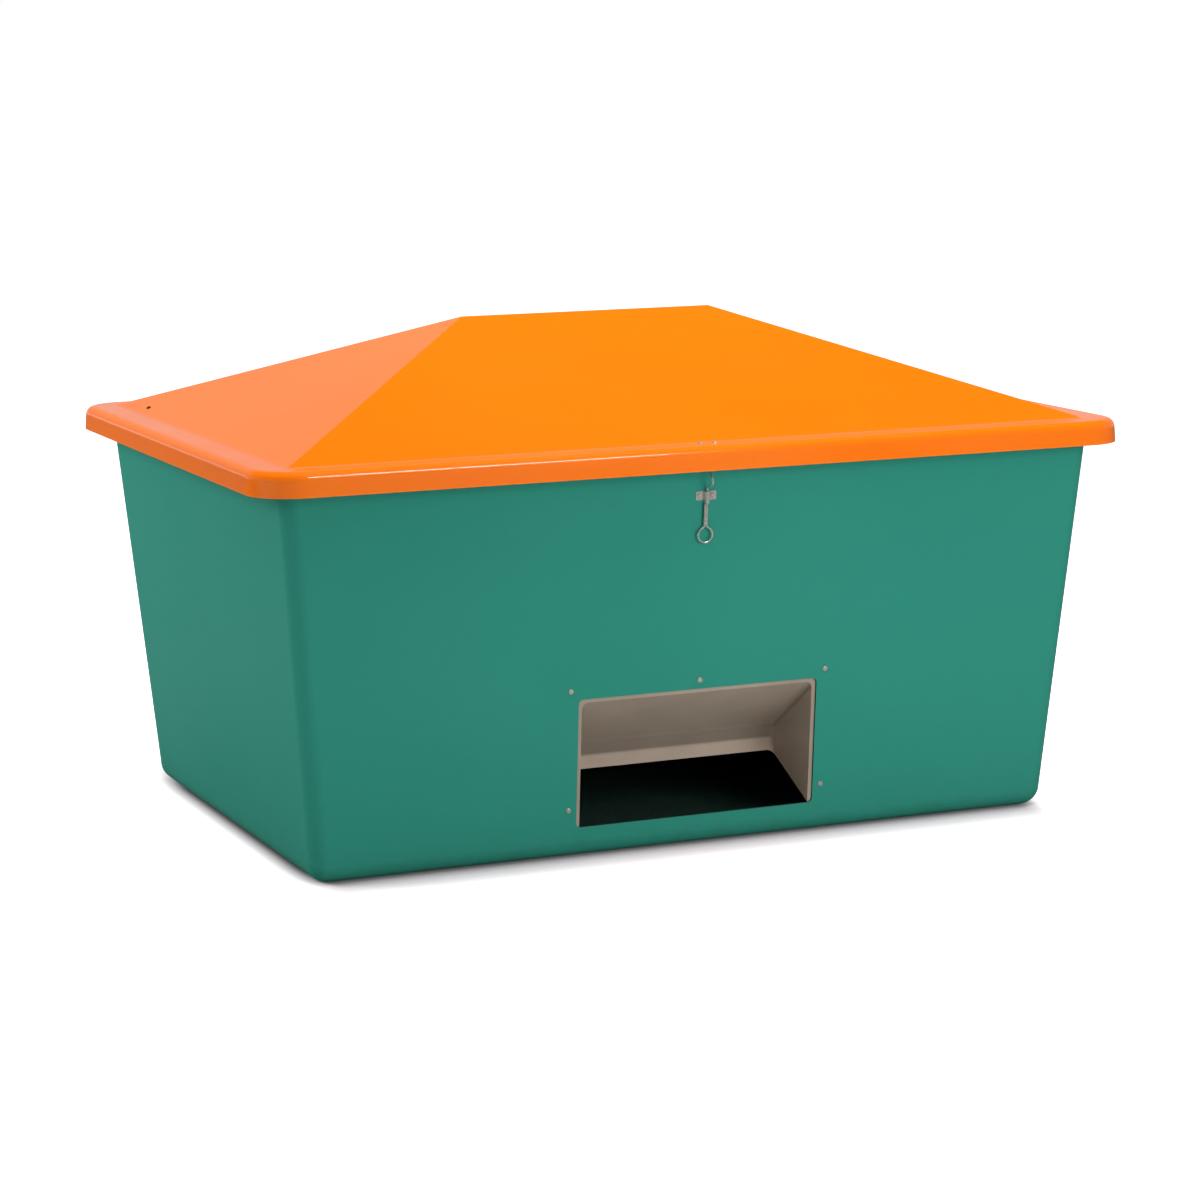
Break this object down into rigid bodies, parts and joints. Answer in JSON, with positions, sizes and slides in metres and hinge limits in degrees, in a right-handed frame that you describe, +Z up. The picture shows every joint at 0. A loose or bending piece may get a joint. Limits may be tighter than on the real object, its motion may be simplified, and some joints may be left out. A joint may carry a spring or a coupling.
{
  "type": "grit salt bin",
  "caption": "Tapered roadside grit and salt bin with a hipped hinged lid, a hooded scoop chute low in the front wall, a turning wire latch and slotted lid stays.",
  "frame": {"origin": "middle of the bin's flat underside, on the ground", "axes": "+X along the bin to the right as seen from the front, -Y to the front with the chute, +Z up"},
  "size_m": [2.13, 1.508, 1.1795],
  "materials": {
    "green_gelcoat": "glossy gel-coat over glass-fibre laminate",
    "orange_gelcoat": "glossy gel-coat over glass-fibre laminate",
    "hood_laminate": "plain laminate, unpainted",
    "stainless_steel": "satin stainless sheet and wire",
    "stay_steel": "zinc-plated sheet",
    "dark_steel": "dark plated bolt"
  },
  "bodies": {
    "container": {"container": "green_gelcoat", "chute_hood": "hood_laminate", "chute_hood_rivets": "stainless_steel", "chute_hood_washers": "stainless_steel", "hinge_body_leaf_left": "stainless_steel", "hinge_body_leaf_right": "stainless_steel", "hinge_pin_left": "stainless_steel", "hinge_pin_right": "stainless_steel", "hinge_body_bolts": "stainless_steel", "hinge_body_washers": "stainless_steel", "hinge_body_nuts": "stainless_steel", "latch_bracket": "stainless_steel", "latch_bracket_rivets": "stainless_steel", "stay_guide_bracket_left": "stay_steel", "stay_guide_bracket_right": "stay_steel", "stay_guide_pins": "stay_steel"},
    "lid": {"lid": "orange_gelcoat", "hinge_lid_leaf_left": "stainless_steel", "hinge_lid_leaf_right": "stainless_steel", "hinge_lid_rivets": "stainless_steel", "lid_catch": "stainless_steel", "lid_catch_rivets": "stainless_steel", "stay_lid_bracket_left": "stay_steel", "stay_lid_bracket_right": "stay_steel", "stay_lid_bolts": "dark_steel", "stay_lid_nuts": "stay_steel", "stay_pivot_pins": "stay_steel"},
    "latch": {"latch_hook": "stainless_steel"},
    "stay_left": {"stay_arm_left": "stay_steel"},
    "stay_right": {"stay_arm_right": "stay_steel"}
  },
  "joints": [
    {"name": "lid_hinge", "type": "hinge", "parent": "container", "child": "lid", "pos_m": [0, 0.7545, 0.878], "axis": [-1, 0, 0], "range_deg": [0, 95]},
    {"name": "latch_turn", "type": "hinge", "parent": "container", "child": "latch", "pos_m": [0, -0.67924, 0.81708], "axis": [0, 0.0814, -0.9967], "range_deg": [0, 17]},
    {"name": "stay_left_pivot", "type": "hinge", "parent": "lid", "child": "stay_left", "pos_m": [-0.9365, 0.478, 0.918], "axis": [-1, 0, 0], "range_deg": [-47.5, 0]},
    {"name": "stay_right_pivot", "type": "hinge", "parent": "lid", "child": "stay_right", "pos_m": [0.9365, 0.478, 0.918], "axis": [-1, 0, 0], "range_deg": [-47.5, 0]}
  ],
  "couplings": [
    {"joint": "stay_left_pivot", "follows": "lid_hinge", "ratio": -0.5},
    {"joint": "stay_right_pivot", "follows": "lid_hinge", "ratio": -0.5}
  ]
}
